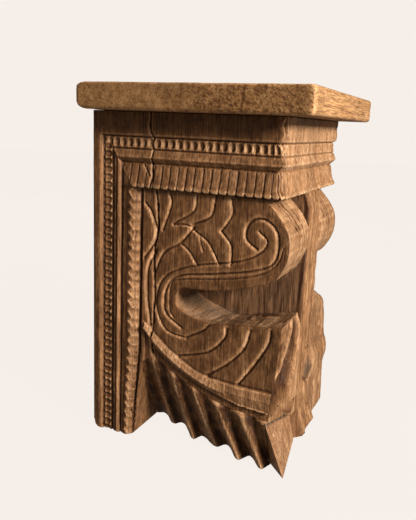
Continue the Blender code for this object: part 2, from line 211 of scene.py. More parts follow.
# Flutes of the lower end, crest and hollow in turn: (s, t, depth) at the top, (s, depth) at the foot
FLUTES = [
    ((55, 253, 5), (46, 61)),
    ((59, 247, 7), (53, 66)),
    ((71, 243, 4), (76, 46)),
    ((80, 250, 7), (82, 54)),
    ((94, 258, 4), (110, 25)),
    ((103, 264, 7), (115, 37)),
    ((118, 269, 4), (138, 22)),
    ((128, 275, 7), (145, 33)),
    ((144, 279, 3), (168, 9)),
    ((154, 282, 7), (175, 23)),
    ((171, 284, 2), (194, 4)),
    ((181, 286, 7), (200, 19)),
]
NEAR_CORNER = ((196, 288, 1), (218, 0))
WORN_CORNER = ((205, 288, 2), (207, 3))
FLUTE_BELLY = 1.25
FLUTE_ROWS = 84
FLUTE_COLUMNS = 12
FOOT_LAYERS = 12
FOOT_COLUMNS = 60
INNER_FRONT_TOP = 198.0
INNER_FRONT_FOOT = 206.0

# The break that the mended tip closes, as (s, t) at the side face and beside the web
BREAK_TOP_SIDE = (196.0, 288.5)
BREAK_TOP_WEB = (199.0, 310.0)
BREAK_FOOT_SIDE = (199.5, 346.0)
# How deep in from the side face it runs, and how far back it lies at the web
BREAK_RUN = 76.0
BREAK_BACK = 200.0
JOINT_GAP = 0.35
# The mended tip: its upper corner from the middle, how far its foot is hollowed, its foot beside the web
TIP_HALF = 99.0
TIP_HOLLOW = 19.0
TIP_FOOT_S = 200.4
TIP_ROWS = 50
TIP_COLUMNS = 60
TIP_SIDE_COLUMNS = 24
TIP_FOOT_COLUMNS = 12
# A pale speck on the tip
SPECK_X = -86.0
SPECK_T = 305.0
SPECK_RADIUS = 1.6
# The plank: how far its edges are rounded, how many columns go round it, and the check in its near end
PLANK_ROUNDING = 3.5
PLANK_COLUMNS = 700
PLANK_SIDE_ROWS = 14
CHECK_S = 168.6
# How far the plank's back edge is rounded over where it overhangs
BACK_ROUNDING = 12.0
# How strongly the dull old wood reflects
SHEEN = 0.15

# The back from top to foot, where its corner is rounded, as (t, s)
BACK_CURVE = [(0, 0), (328, 0), (333, 1.4), (337, 3.5), (340, 10)]
# The web's front edge, as (t, s)
WEB_FRONT = [(0, 190), (64, 190), (72, 200), (88, 205.4), (285, 205.4), (312, 209.6), (331, 215.6),
             (336, 213), (339, 206)]
WEB_TOP = 0.3
WEB_FOOT = 339.4
WEB_SIDE_COLUMNS = 121
# How far the web stays in front of the sawn back
WEB_INSET = 0.6

# Colour of the backdrop and the floor
BACKDROP_COLOUR = (0.922, 0.863, 0.815, 1.0)


def rise(value, width):
    """0 below nothing, 1 from the width on, and even in between."""
    return np.clip(value / width, 0, 1)


def bell(value, width):
    """1 at 0, which falls off smoothly over the width on either side."""
    return np.exp(-((value / width) ** 2))


def quarter_round(distance, radius):
    """How far a rounded edge has drawn back at a distance from its corner."""
    inner = np.clip(radius - distance, 0, None)
    return radius - np.sqrt(np.clip(radius**2 - inner**2, 0, None))


def between(value, limits):
    """Whether a value lies between two limits."""
    return (value > limits[0]) & (value < limits[1])


def read_off(table, value):
    """The second column of a table of pairs, read off at values of the first."""
    return np.interp(value, *zip(*table))


def beside(*grids):
    """Grids joined into one, column after column."""
    return np.concatenate(grids, axis=1)


def place(x, s, t):
    """Millimetres of the drawing as world metres, for numbers or arrays."""
    return np.stack([np.asarray(x), -np.asarray(s), MOUNT_DROP - np.asarray(t)], axis=-1) * 0.001


def noise(a, b, seed):
    """Smooth noise between -1 and 1 on two coordinates, whose cells are 1 wide."""
    lattice = np.random.default_rng(seed).uniform(-1, 1, (LATTICE, LATTICE))
    cell_a = np.floor(a).astype(int)
    cell_b = np.floor(b).astype(int)
    share_a = a - cell_a
    share_b = b - cell_b
    share_a = share_a * share_a * (3 - 2 * share_a)
    share_b = share_b * share_b * (3 - 2 * share_b)
    row, next_row = cell_a % LATTICE, (cell_a + 1) % LATTICE
    column, next_column = cell_b % LATTICE, (cell_b + 1) % LATTICE
    low = lattice[row, column] * (1 - share_a) + lattice[next_row, column] * share_a
    high = lattice[row, next_column] * (1 - share_a) + lattice[next_row, next_column] * share_a
    return low * (1 - share_b) + high * share_b


def grain(across, along, seed):
    """Wood fibres that run along one coordinate."""
    fine = noise(across / 1.1, along / 16 + across * 0.05, seed)
    broad = noise(across / 3.4, along / 34, seed + 1)
    return 0.6 * fine + 0.6 * broad


def waves(a, b, seed, size):
    """Slow unevenness of hand work, with a finer layer on it."""
    return noise(a / size, b / size, seed) + 0.5 * noise(a / size * 2.3, b / size * 2.3, seed + 1)


def smooth_path(points, step):
    """A smooth curve through the points, as rows of s, t and their places at the web."""
    full = []
    for point in points:
        corner = len(point) > 2 and point[2] == 1
        inner = point[3:5] if len(point) > 3 else point[:2]
        full.append((np.array([*point[:2], *inner], dtype=float), corner))
    rows = [full[0][0]]
    for i in range(len(full) - 1):
        here, there = full[i][0], full[i + 1][0]
        before = full[i - 1][0] if i else here
        after = full[i + 2][0] if i + 2 < len(full) else there
        leave = there - here if full[i][1] or i == 0 else (there - before) / 2
        arrive = there - here if full[i + 1][1] else (after - here) / 2
        count = max(1, int(np.hypot(*(there - here)[:2]) / step))
        for k in range(1, count + 1):
            u = k / count
            rows.append(here * (2 * u**3 - 3 * u**2 + 1) + leave * (u**3 - 2 * u**2 + u)
                        + there * (3 * u**2 - 2 * u**3) + arrive * (u**3 - u**2))
    return np.array(rows)


def on_ground(points):
    """Points drawn on the outermost face, moved to where the same lines of sight meet the sunk ground."""
    moved = []
    for s, t, *rest in points:
        s = s - (VIEW_S - s) * GROUND / VIEW_DISTANCE
        t = t + (t - VIEW_T) * GROUND / VIEW_DISTANCE
        moved.append((s, t, *rest))
    return moved


def line_field(s_axis, t_axis, path, reach):
    """Distance from each grid point to a path, up to reach, and how far it lies to its upper front."""
    distance = np.full((len(t_axis), len(s_axis)), float(reach))
    side = np.zeros_like(distance)
    for start, end in zip(path[:-1, :2], path[1:, :2]):
        low = np.minimum(start, end) - reach
        high = np.maximum(start, end) + reach
        left, right = np.searchsorted(s_axis, (low[0], high[0]))
        top, bottom = np.searchsorted(t_axis, (low[1], high[1]))
        run = end - start
        length = run @ run
        if left == right or top == bottom or length == 0:
            continue
        ds = s_axis[left:right][None, :] - start[0]
        dt = t_axis[top:bottom][:, None] - start[1]
        share = rise(ds * run[0] + dt * run[1], length)
        ds = ds - share * run[0]
        dt = dt - share * run[1]
        gap = np.hypot(ds, dt)
        window = distance[top:bottom, left:right]
        closer = gap < window
        window[closer] = gap[closer]
        lean = (0.9 * ds - 0.45 * dt) / np.maximum(gap, 0.05)
        side[top:bottom, left:right][closer] = lean[closer]
    return distance, side


def cups(distance_along, distance_across):
    """A gouged cup at the middle of each pitch, steepest on its far wall."""
    off_middle = 1.0
    steep, slow, stretch = 1.3, 0.8, 0.78
    u = ((distance_along / BEAD_PITCH) % 1.0 - 0.5) * BEAD_PITCH + off_middle
    radius = np.hypot(u * np.where(u < 0, steep, slow), distance_across * stretch)
    return CUP_DEPTH * np.sqrt(np.clip(1 - (radius / CUP_RADIUS) ** 2, 0, 1))


def tongues(along, t, sharpness):
    """Parting cuts and rounded lower ends of the row of tongues, as extra depth and as tone: painted shade
    in the cuts and paler rims at the ends.
    """
    u = np.abs((along / TONGUE_PITCH + 0.05 * noise(along / 9, t / 30, 7)) % 1.0 - 0.5) * 2
    row = (t > TONGUE_START + 0.6) * rise(t - TONGUE_START - 0.6, 2)
    cut = row * sharpness * rise(u - 0.84, 0.08)
    tip = TONGUE_FOOT - TONGUE_ROUNDING * u ** 3
    end = row * rise(t - tip, 0.6)
    rim = row * bell(t - tip + 1.2, 0.9)
    return 0.9 * cut + 0.3 * row * sharpness * u * u + 6 * end, 0.3 * rim - 0.35 * cut * (1 - end)


def head_depth(along, t, sharpness=1.0):
    """Depth and tone of the head's mouldings, along any of the three sides; the tone holds painted
    highlights and painted shade.
    """
    deepest = 9.0
    profile = read_off(HEAD_PROFILE, t)
    scoops = cups(along, t - BEAD_ROW_T)
    cuts, tone = tongues(along, t, sharpness)
    # Painted highlights on the sloping face, the tongues and the cup walls that face the light.
    lit_face = 0.12 * between(t, SLOPING_FACE) + 0.09 * (t > TONGUE_START)
    phase = (along / BEAD_PITCH) % 1.0
    lit_wall = scoops * np.interp(phase, (0.1, 0.32, 0.5, 0.9), (0.34, 0.28, 0.03, 0.0))
    depth = np.minimum(profile + sharpness * scoops + cuts, np.where(t > TONGUE_START, GROUND, deepest))
    return depth, tone + lit_wall + lit_face


def strip_taper(t):
    """How far the forward edge of the strips has drawn back at t."""
    return STRIP_TAPER * rise(t - TAPER_START, BLOCK_HEIGHT - TAPER_START)


def strip_depth(s, t):
    """Depth of the upright strips beside the back, and their tone: a painted highlight on the cut facets,
    which face the light, and painted shade between them.
    """
    taper_from, taper_width = 33, 15
    falling, rising = 0.42, 0.58
    s = s + strip_taper(t) * rise(s - taper_from, taper_width)
    profile = read_off(STRIP_PROFILE, s)
    wave = ((t - HEAD_END) / SAW_PITCH + 0.1 * noise(t / 6.3, s * 0, 5)) % 1.0
    tooth = np.where(wave < falling, 1 - wave / falling, (wave - falling) / rising)
    inside_facet = s - (SAW_FROM + (SAW_TO - SAW_FROM) * tooth)
    row = (s < SAW_END) & (t > HEAD_END - 0.5)
    facet = np.clip(0.9 * np.clip(inside_facet, 0, 1) + inside_facet * 0.35, 0, 4.0) * row
    # Painted highlight on the facets that face the light, and painted shade between the teeth.
    painted_highlight = np.interp(s, (43, 46, 48, 51), (0.34, 0.26, 0.12, 0.05))
    tone = np.where(inside_facet > 0, painted_highlight, -0.12) * row * (s > SAW_FROM - 3)
    scoops = cups(t, s - BEAD_ROW_S)
    return profile + facet + scoops, tone + 0.06 * scoops - 0.07 * (s < 8)


def band_share(s, t):
    """How far down the slanting band a point lies: 0 at its upper edge and 1 at its lower edge."""
    place_s, upper, lower = zip(*BAND_EDGES)
    top = np.interp(s, place_s, upper)
    return (t - top) / (np.interp(s, place_s, lower) - top)


def band_depth(s, t, ground):
    """The slanting band: an upper tier that faces up, a lower one that faces down, and a thin lip."""
    band_from, tiers_end, undercut = 60, 158, 6.4
    share = band_share(s, t)
    full = rise(tiers_end - s, 12)
    upper = np.interp(share, (0, 0.07, 0.6, 1), (5, 3.4, 0.9, 3.5))
    plain = np.interp(share, (0, 0.07, 0.45, 0.5, 0.93, 1), (5, 2.2, 1.4, 2.0, 3.6, 2.8))
    raised = upper * full + plain * (1 - full)
    on_band = between(share, (0, 1)) & (s > band_from)
    below = (share >= 1.0) & (s > band_from)
    depth = np.where(on_band, np.minimum(raised, ground), ground)
    return np.where(below, undercut, depth)


def carve_lines(s_axis, t_axis, ground):
    """Cuts the carved lines in the ground; a wide wall faces up and forward, a steep one faces it.

    Also gives a painted highlight on the wide walls, which face the light, and painted shade along the
    bottoms."""
    tone = np.zeros_like(ground)
    spots = noise(*np.meshgrid(s_axis / 3.1, t_axis / 4.3), 15)
    for depth, half, lap, points in CUT_LINES:
        distance, lean = line_field(s_axis, t_axis, smooth_path(on_ground(points), 2.5), LINE_REACH)
        width = half * (0.7 - 0.34 * lean)
        groove = np.clip(1 - distance / width, 0, 1)
        lapped = 1.3 * lap * np.exp(-distance / 4.5) * np.clip(lean, 0, 1) * (distance < LINE_REACH)
        ground += depth * groove + lapped
        ground += 0.3 * np.exp(-distance / 3.0)
        # Painted highlight on the wide walls, which face the light.
        painted_highlight = np.clip(0.2 - lean * 1.4, 0, 1) * np.clip(groove * 3, 0, 1) * (groove < 0.8)
        tone = np.maximum(tone, 0.5 * painted_highlight * (0.8 + 0.3 * spots))
        # Painted shade along the bottoms, leaning to the steep walls.
        tone -= 0.2 * bell(distance - 0.3 * np.clip(lean, 0, 1), 0.75)
    return tone


def crack_depth(s_axis, t_axis):
    """Depth of the ragged drying cracks."""
    depth = np.zeros((len(t_axis), len(s_axis)))
    along = t_axis[:, None]
    for half, points in CRACKS:
        distance, _ = line_field(s_axis, t_axis, smooth_path(points, 3), 3)
        ragged = half * (1 + 0.35 * noise(along / 4, along * 0, 8))
        depth += 4.5 * np.clip(1.5 - distance / ragged, 0, 1)
    return depth


def side_depth(s_axis, t_axis):
    """Depth and tone of the whole carved side on a regular grid."""
    s, t = np.meshgrid(s_axis, t_axis)
    ground = GROUND + 0.5 * waves(s, t, 11, 17) * rise(s - 58, 6)
    tone = carve_lines(s_axis, t_axis, ground)
    ground = band_depth(s, t, ground)
    share = band_share(s, t)
    on_band = between(share, (0, 1))
    # Painted highlight on the band's upper tier, which faces up to the light.
    tone = np.where(on_band, 0.1 + 0.18 * (share < 0.6) * np.clip((160 - s) / 12, 0.3, 1), tone)
    for s0, t0, s1, t1 in BAND_JOINTS:
        distance, _ = line_field(s_axis, t_axis, np.array([(s0, t0), (s1, t1)]), 3)
        ground += 0.9 * np.clip(1 - distance / 0.9, 0, 1)
    on_strip = s < STRIP_END - strip_taper(t)
    turn = read_off(MITRE, t)
    on_head = (t < HEAD_END) & (s > turn)
    strip, strip_tone = strip_depth(s, t)
    moulding, moulding_tone = head_depth(s, t)
    depth = np.where(on_head, moulding, np.where(on_strip, strip, ground))
    tone = np.where(on_head, moulding_tone, np.where(on_strip, strip_tone, tone))
    depth += 0.2 * grain(s, t, 21) + 0.17 * waves(s, t, 31, 4)
    tone = tone + 0.05 * waves(s, t, 33, 6)
    crack = crack_depth(s_axis, t_axis)
    return depth + crack, tone - 0.15 * crack


def box_blur(field, radius):
    """The mean of a field over a square of that many cells each way."""
    padded = np.pad(field, radius, mode="edge")
    for axis in (0, 1):
        total = np.cumsum(padded, axis=axis)
        ahead = np.take(total, range(2 * radius, total.shape[axis]), axis=axis)
        behind = np.take(total, range(0, total.shape[axis] - 2 * radius), axis=axis)
        padded = (ahead - behind) / (2 * radius)
    return padded[:field.shape[0], :field.shape[1]]


def wear_and_light_of(depth, radius, base):
    """Tone from a base that carries painted light and shade: 1 on crests that hands have rubbed pale, 0 in
    hollows.
    """
    proud = box_blur(depth, radius) - depth
    return np.clip(base + np.clip(proud * 0.3, -0.4, 0.35), 0, 1)


def mesh_object(name, points, faces, wear_and_light, material, replaced="corbel_block",
                grey=None, caps=()):
    """One piece of the dressed part, with the tone of each of its points, which holds wear and painted
    light and shade, and how grey each is.
    """
    mesh = bpy.data.meshes.new(name)
    mesh.from_pydata(points.reshape(-1, 3).tolist(), [], [*faces.tolist(), *caps])
    mesh.validate()
    grey = np.zeros_like(wear_and_light) if grey is None else grey
    for label, values in (("wear_and_light", wear_and_light), ("grey", grey)):
        attribute = mesh.attributes.new(label, "FLOAT", "POINT")
        attribute.data.foreach_set("value", np.ravel(values).astype(np.float32))
    mesh.polygons.foreach_set("use_smooth", [True] * len(mesh.polygons))
    mesh.materials.append(material)
    item = bpy.data.objects.new(name, mesh)
    bpy.context.scene.collection.objects.link(item)
    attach(item, "root")
    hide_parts(replaced)


def grid_faces(rows, columns, closed=False, flip=False):
    """Quads of a grid whose points are stored row by row."""
    index = np.arange(rows * columns).reshape(rows, columns)
    if closed:
        index = beside(index, index[:, :1])
    corners = [index[:-1, :-1], index[:-1, 1:], index[1:, 1:], index[1:, :-1]]
    if flip:
        corners.reverse()
    return np.stack([corner.ravel() for corner in corners], axis=-1)


def sheet(name, x, s, t, wear_and_light, material, flip=False):
    """A piece of the block that is one grid of points."""
    mesh_object(name, place(x, s, t), grid_faces(*x.shape, flip=flip), wear_and_light, material)


def axis(start, end, step):
    """Even places from start to end, about one step apart."""
    return np.linspace(start, end, max(2, int(round(abs(end - start) / step)) + 1))


def head(material):
    """The moulded head, one ribbon round the near side, the front and the far side."""
    drawn_in = 14
    lip_across, lip_back = 24, 20
    t_axis = axis(0, HEAD_END, HEAD_STEP)
    s_axis = axis(0, BLOCK_DEPTH, HEAD_STEP)
    x_axis = axis(-HALF_WIDTH, HALF_WIDTH, HEAD_STEP)
    side, side_tone = side_depth(s_axis, t_axis)
    cross, t = np.meshgrid(x_axis, t_axis)
    front, front_tone = head_depth(cross + BEAD_PITCH / 2, t, 0.5)
    front += 0.35 * grain(cross, t, 41) + 0.4 * waves(cross, t, 43, 5)
    corner = read_off(HEAD_PROFILE, t_axis)[:, None]
    rounding = CORNER_ROUNDING + CORNER_UNEVEN * noise(t_axis / 8, t_axis * 0, 3)[:, None]
    distance_side = (BLOCK_DEPTH - s_axis)[None, :]
    distance_front = (HALF_WIDTH - np.abs(x_axis))[None, :]

    def worn(depth, distance):
        blend = rise(distance, 2.5)
        depth = depth * blend + corner * (1 - blend)
        return depth + 0.65 * quarter_round(distance, rounding)

    side = worn(side, distance_side)
    front = worn(front, distance_front)
    edge = side[:, -1:]
    squeeze = rise(s_axis - (BLOCK_DEPTH - drawn_in), drawn_in)[None, :]
    side_s = s_axis[None, :] - edge * squeeze
    squeeze = rise(np.abs(x_axis) - (HALF_WIDTH - drawn_in), drawn_in)[None, :]
    front_x = np.sign(x_axis)[None, :] * (np.abs(x_axis)[None, :] - edge * squeeze)
    x = beside(side - HALF_WIDTH, front_x, (HALF_WIDTH - side)[:, ::-1])
    s = beside(side_s, BLOCK_DEPTH - front, side_s[:, ::-1])
    t = np.repeat(t_axis[:, None], x.shape[1], axis=1)
    depth = beside(side, front, side[:, ::-1])
    # Painted shade on the side faces, darker still near the top where the plank's shadow falls; the paler
    # band by the front corner is wear.
    shaded = 0.26 - 0.05 * rise(24 - t_axis, 4)[:, None] + side_tone
    shaded += 0.3 * np.clip(1 - distance_side / rounding, 0, 1)
    # Painted light on the front, less on the tongues.
    lit = 0.68 - 0.12 * (t_axis > TONGUE_START)[:, None] + 0.4 * front_tone
    base = beside(shaded, lit, shaded[:, ::-1])
    wear_and_light = wear_and_light_of(depth, 3, base)
    lip_x = x * (1 - lip_across / HALF_WIDTH)
    lip_s = np.clip(s - lip_back, 0, None)
    x, s, t, wear_and_light = (np.concatenate([lip[:1], grid, lip[-1:]])
                     for grid, lip in ((x, lip_x), (s, lip_s), (t, t), (wear_and_light, wear_and_light)))
    sheet("moulded_head", x, s, t, wear_and_light, material, flip=True)


def inside(points, path):
    """Whether points lie inside a closed path."""
    s, t = points
    found = np.zeros(s.shape, dtype=bool)
    for (s0, t0), (s1, t1) in zip(path[:-1, :2], path[1:, :2]):
        if t0 == t1:
            continue
        crosses = (t0 > t) != (t1 > t)
        found ^= crosses & (s < (s1 - s0) * (t - t0) / (t1 - t0) + s0)
    return found


def snap(points, path):
    """The nearest places of the path, with their places at the web."""
    start = path[:-1, :2]
    run = path[1:, :2] - start
    length = np.maximum((run**2).sum(axis=1), 1e-9)
    away = points[:, None, :] - start[None]
    share = np.clip((away * run[None]).sum(axis=2) / length[None], 0, 1)
    gap = np.linalg.norm(away - share[..., None] * run[None], axis=2)
    nearest = gap.argmin(axis=1)
    part = share[np.arange(len(points)), nearest][:, None]
    return path[nearest] * (1 - part) + path[nearest + 1] * part


def side_panel(name, side, front, step, material):
    """One carved side under the head, and the walls that lead in from its outline to the web."""
    path = smooth_path([*OUTLINE_BACK, *front, *on_ground(OUTLINE_SCROLL), OUTLINE_BACK[0]], 2.0)
    s_axis = axis(0, SIDE_REACH, step)
    t_axis = axis(HEAD_END, BLOCK_HEIGHT, step)
    depth, tone = side_depth(s_axis, t_axis)
    edge_distance, _ = line_field(s_axis, t_axis, path, 3)
    at_edge = t_axis[:, None] > HEAD_END + 1
    rounding = 1.0
    depth = depth + 0.8 * quarter_round(edge_distance, rounding) * at_edge
    # The 0.25 base is painted shade: the carved sides sit darker than the lit fronts.
    wear_and_light = wear_and_light_of(depth, 3, 0.25 + tone)
    s, t = np.meshgrid(s_axis, t_axis)
    middles = ((s[:-1, :-1] + s[1:, 1:]) / 2, (t[:-1, :-1] + t[1:, 1:]) / 2)
    keep = inside(middles, path).ravel()
    faces = grid_faces(*s.shape, flip=side > 0)[keep]
    used = np.bincount(faces.ravel(), minlength=s.size)
    border = np.flatnonzero((used > 0) & (used < 4))
    snapped = snap(np.stack([s.ravel()[border], t.ravel()[border]], axis=-1), path)
    s.ravel()[border] = snapped[:, 0]
    t.ravel()[border] = snapped[:, 1]
    renumber = np.full(s.size, -1)
    kept = np.flatnonzero(used)
    renumber[kept] = np.arange(len(kept))
    x = side * (HALF_WIDTH - depth)
    points = place(x, s, t).reshape(-1, 3)[kept]
    mesh_object(name + "_carving", points, renumber[faces], wear_and_light.ravel()[kept], material)
    side_walls(name + "_edges", side, step, faces, border, depth.ravel()[border], snapped,
               wear_and_light.ravel()[border], material)


def beyond_flare(from_middle, t):
    """0 on the flared foot of the web and 1 beside it."""
    return rise(from_middle - read_off(FLARE_EDGE, t), 4)


def lobe_relief(from_middle, t):
    """How far the front of a side layer is cut back on either side of its raised ridge."""
    past = read_off(LOBE_EDGE, t) - from_middle
    fade = np.interp(t, (188, 198, 250, 272, 289), (0, 1, 1, 0.45, 0.1))
    valley_depth = 8.0
    valley = valley_depth * rise(past, 2.5) * beyond_flare(from_middle, t) * fade
    outer = rise(-past - 4.5, 2) * np.interp(t, (194, 204, 240, 250), (0, 1, 1, 0))
    hollow = outer * (2.6 + 1.1 * noise(from_middle / 2.2, t / 8, 55))
    broken = np.interp(t, (247, 255, 284, 289), (0, 1, 1, 0.3)) * rise(from_middle - 46, 8)
    splinters = 1.5 + 2.6 * noise(from_middle / 2.6, t / 16, 57) + 1.2 * noise(from_middle / 5, t / 5, 58)
    return valley + hollow + broken * np.clip(splinters, 0, None)


def knot_reach(x, t):
    """How far out from the middle of the knot a point lies, where 1 is its rim."""
    return np.hypot((x - KNOT_X) / KNOT_HALF_WIDTH, (t - KNOT_T) / KNOT_HALF_HEIGHT)


def knot_marks(x, t):
    """The groove round the knot low on the front, and the dark stain inside it."""
    reach = knot_reach(x, t) + 0.2 * noise(x / 11, t / 13, 117)
    groove = bell(reach - 1, 0.1)
    stain = np.exp(-((((x - KNOT_X) / 12) ** 2 + ((t - KNOT_T - 7) / 12) ** 2) ** 2))
    return groove, stain


def scroll_splits(inward, t):
    """Drying splits that wander down the rounded front of a scroll."""
    splits = np.zeros_like(inward)
    for start, lean, end in SCROLL_SPLITS:
        line = start + lean * (t - HEAD_END) + 1.2 * noise(t / 9, t * 0, 65)
        splits = np.maximum(splits, bell(inward - line, 1.1) * (t < end))
    return splits


def outer_edges(faces, border, snapped):
    """Edges that belong to one face only, apart from those at the back, by their places in the border."""
    edges = np.concatenate([faces[:, [i, (i + 1) % 4]] for i in range(4)])
    key = np.sort(edges, axis=1)
    _, first, times_used = np.unique(key, axis=0, return_index=True, return_counts=True)
    edges = edges[first[times_used == 1]]
    order = {vertex: i for i, vertex in enumerate(border.tolist())}
    edges = np.array([(order[a], order[b]) for a, b in edges.tolist()])
    return edges[snapped[edges, 0].mean(axis=1) > BACK_CURVE[-1][1]]


def wall_relief(side, inward, t, rim_t, forward, on_scroll):
    """How far the front of a side is cut back, with the splits in its scroll and the stain of the knot."""
    from_middle = HALF_WIDTH - inward
    relief = lobe_relief(from_middle, t) * (rim_t > 189) * (1.0 if side < 0 else 0.2)
    relief = relief + 2.2 * rise(inward - SCROLL_STEP, 2.5) * on_scroll
    splits = scroll_splits(inward, t)
    relief = relief + 1.2 * splits * on_scroll
    groove, stain = [marks * forward * (side > 0) for marks in knot_marks(from_middle, t)]
    return relief + 1.6 * groove, splits, stain


def wall_faces(edges, count):
    """Quads between the rows of points that lead in from the two ends of each edge."""
    rows = edges * (count + 1)
    columns = np.arange(count)
    a, b = rows[:, 0][:, None] + columns, rows[:, 1][:, None] + columns
    return np.stack([b, a, a + 1, b + 1], axis=-1).reshape(-1, 4)


def side_walls(name, side, step, faces, border, depth, snapped, wear_and_light, material):
    """Walls from the border of a panel to the web, apart from its back; front ones turn in at their end."""
    edges = outer_edges(faces, border, snapped)
    far = HALF_WIDTH - WEB_HALF + CORE_OVERLAP
    count = int(far / (WALL_STEP * step / PANEL_STEP))
    share = np.linspace(0, 1, count) ** 0.95
    inward = depth[:, None] + (far - depth[:, None]) * share[None]
    blend = (inward - depth[:, None]) / (far - depth[:, None])
    rim_s, rim_t = snapped[:, 0:1], snapped[:, 1:2]
    s = rim_s * (1 - blend) + snapped[:, 2:3] * blend
    t = rim_t * (1 - blend) + snapped[:, 3:4] * blend
    above_mouth = rim_t < SCROLL_FOOT_T
    forward = (rim_s > FRONT_FROM_S) & (rim_t < FRONT_FOOT_T) & (above_mouth | (rim_t > LAYER_TOP_T))
    fade = np.clip(blend * 8, 0, 1) * (rim_s > 60)
    rough = 0.5 * grain(inward, t, 61) + 0.5 * waves(inward, t, 63, 9)
    on_scroll = forward & above_mouth
    in_mouth = between(rim_s, MOUTH_S) & between(rim_t, MOUTH_T)
    relief, splits, stain = wall_relief(side, inward, t, rim_t, forward, on_scroll)
    if side < 0:
        on_flare = 1 - beyond_flare(HALF_WIDTH - inward, t)
        s = s + (FLARE_S - s) * on_flare * forward * rise(rim_t - FLARE_TOP_T, 8)
    s = s - fade * (rough * np.where(forward, 1.0, 0.4) + relief * forward)
    gouges = 0.9 * noise(inward / 13 + rim_s / 20, rim_s / 7, 69) + 0.6 * grain(rim_s, inward, 70)
    t = t + fade * gouges * in_mouth * np.clip((0.97 - blend) * 10, 0, 1)
    rough = rough + gouges * in_mouth + 1.1 * noise(t / 2.3, inward / 24, 68) * on_scroll
    # Painted light on the fronts of the rims (0.66) and on the mouth's walls, palest near its back end; the
    # other walls (0.35) carry painted shade.
    floor_tone = np.interp(rim_s, (100, 125, 150), (0.52, 0.5, 0.34))
    base = np.where(forward, 0.66, np.where(in_mouth, floor_tone, 0.35))
    # Painted shade in the cut-back valleys and steps and along the mouth's join with the web; the splits
    # are dark.
    base = base - 0.13 * np.clip(relief, 0, 4.5) * forward * np.where(on_scroll, 1.4, 1)
    base = base - 0.4 * rise(blend - 0.93, 0.05) * in_mouth - 0.6 * splits * on_scroll
    tone = np.clip(base - 0.45 * stain + 0.14 * rough, 0, 1)
    turn = np.clip(blend * 22, 0, 1)
    tone = wear_and_light[:, None] * (1 - turn) + tone * turn
    grey = in_mouth * np.clip(blend * 5, 0, 1) * (0.4 + 0.35 * noise(inward / 9, rim_s / 12, 67))
    grey = grey * np.interp(rim_s, (115, 150), (1, 0.25)) + 0.4 * stain
    turned = on_scroll | (forward & (rim_t > FLARE_TOP_T))
    s = beside(s, (s - WALL_TURN * turned)[:, -1:])
    inward, t, tone, grey = (beside(values, values[:, -1:]) for values in (inward, t, tone, grey))
    points = place(side * (HALF_WIDTH - inward), s, t)
    mesh_object(name, points, wall_faces(edges, count), tone, material, grey=grey)


def flute_surface(corner):
    """Rows of the fluted end, as s, t and depth."""
    share = np.linspace(0, 1, FLUTE_ROWS)[:, None]
    keys = []
    for top, foot in [*FLUTES, corner]:
        s = top[0] + (foot[0] - top[0]) * share
        t = top[1] + (BLOCK_HEIGHT - top[1]) * share
        depth = top[2] + (foot[1] - top[2]) * share ** FLUTE_BELLY
        depth = depth + (7.5 - depth) * np.clip(1 - share / 0.07, 0, 1)
        keys.append((s, t, depth))
    columns = []
    for i in range(len(keys) - 1):
        for k in range(FLUTE_COLUMNS):
            u = k / FLUTE_COLUMNS
            rounded = u * u * (3 - 2 * u)
            ease = 0.6 * rounded + 0.4 * (math.sqrt(u) if i % 2 == 0 else u**1.6)
            parts = zip(keys[i], keys[i + 1], (u, u, ease))
            columns.append([here + (there - here) * part for here, there, part in parts])
    columns.append(keys[-1])
    return [beside(*column) for column in zip(*columns)]


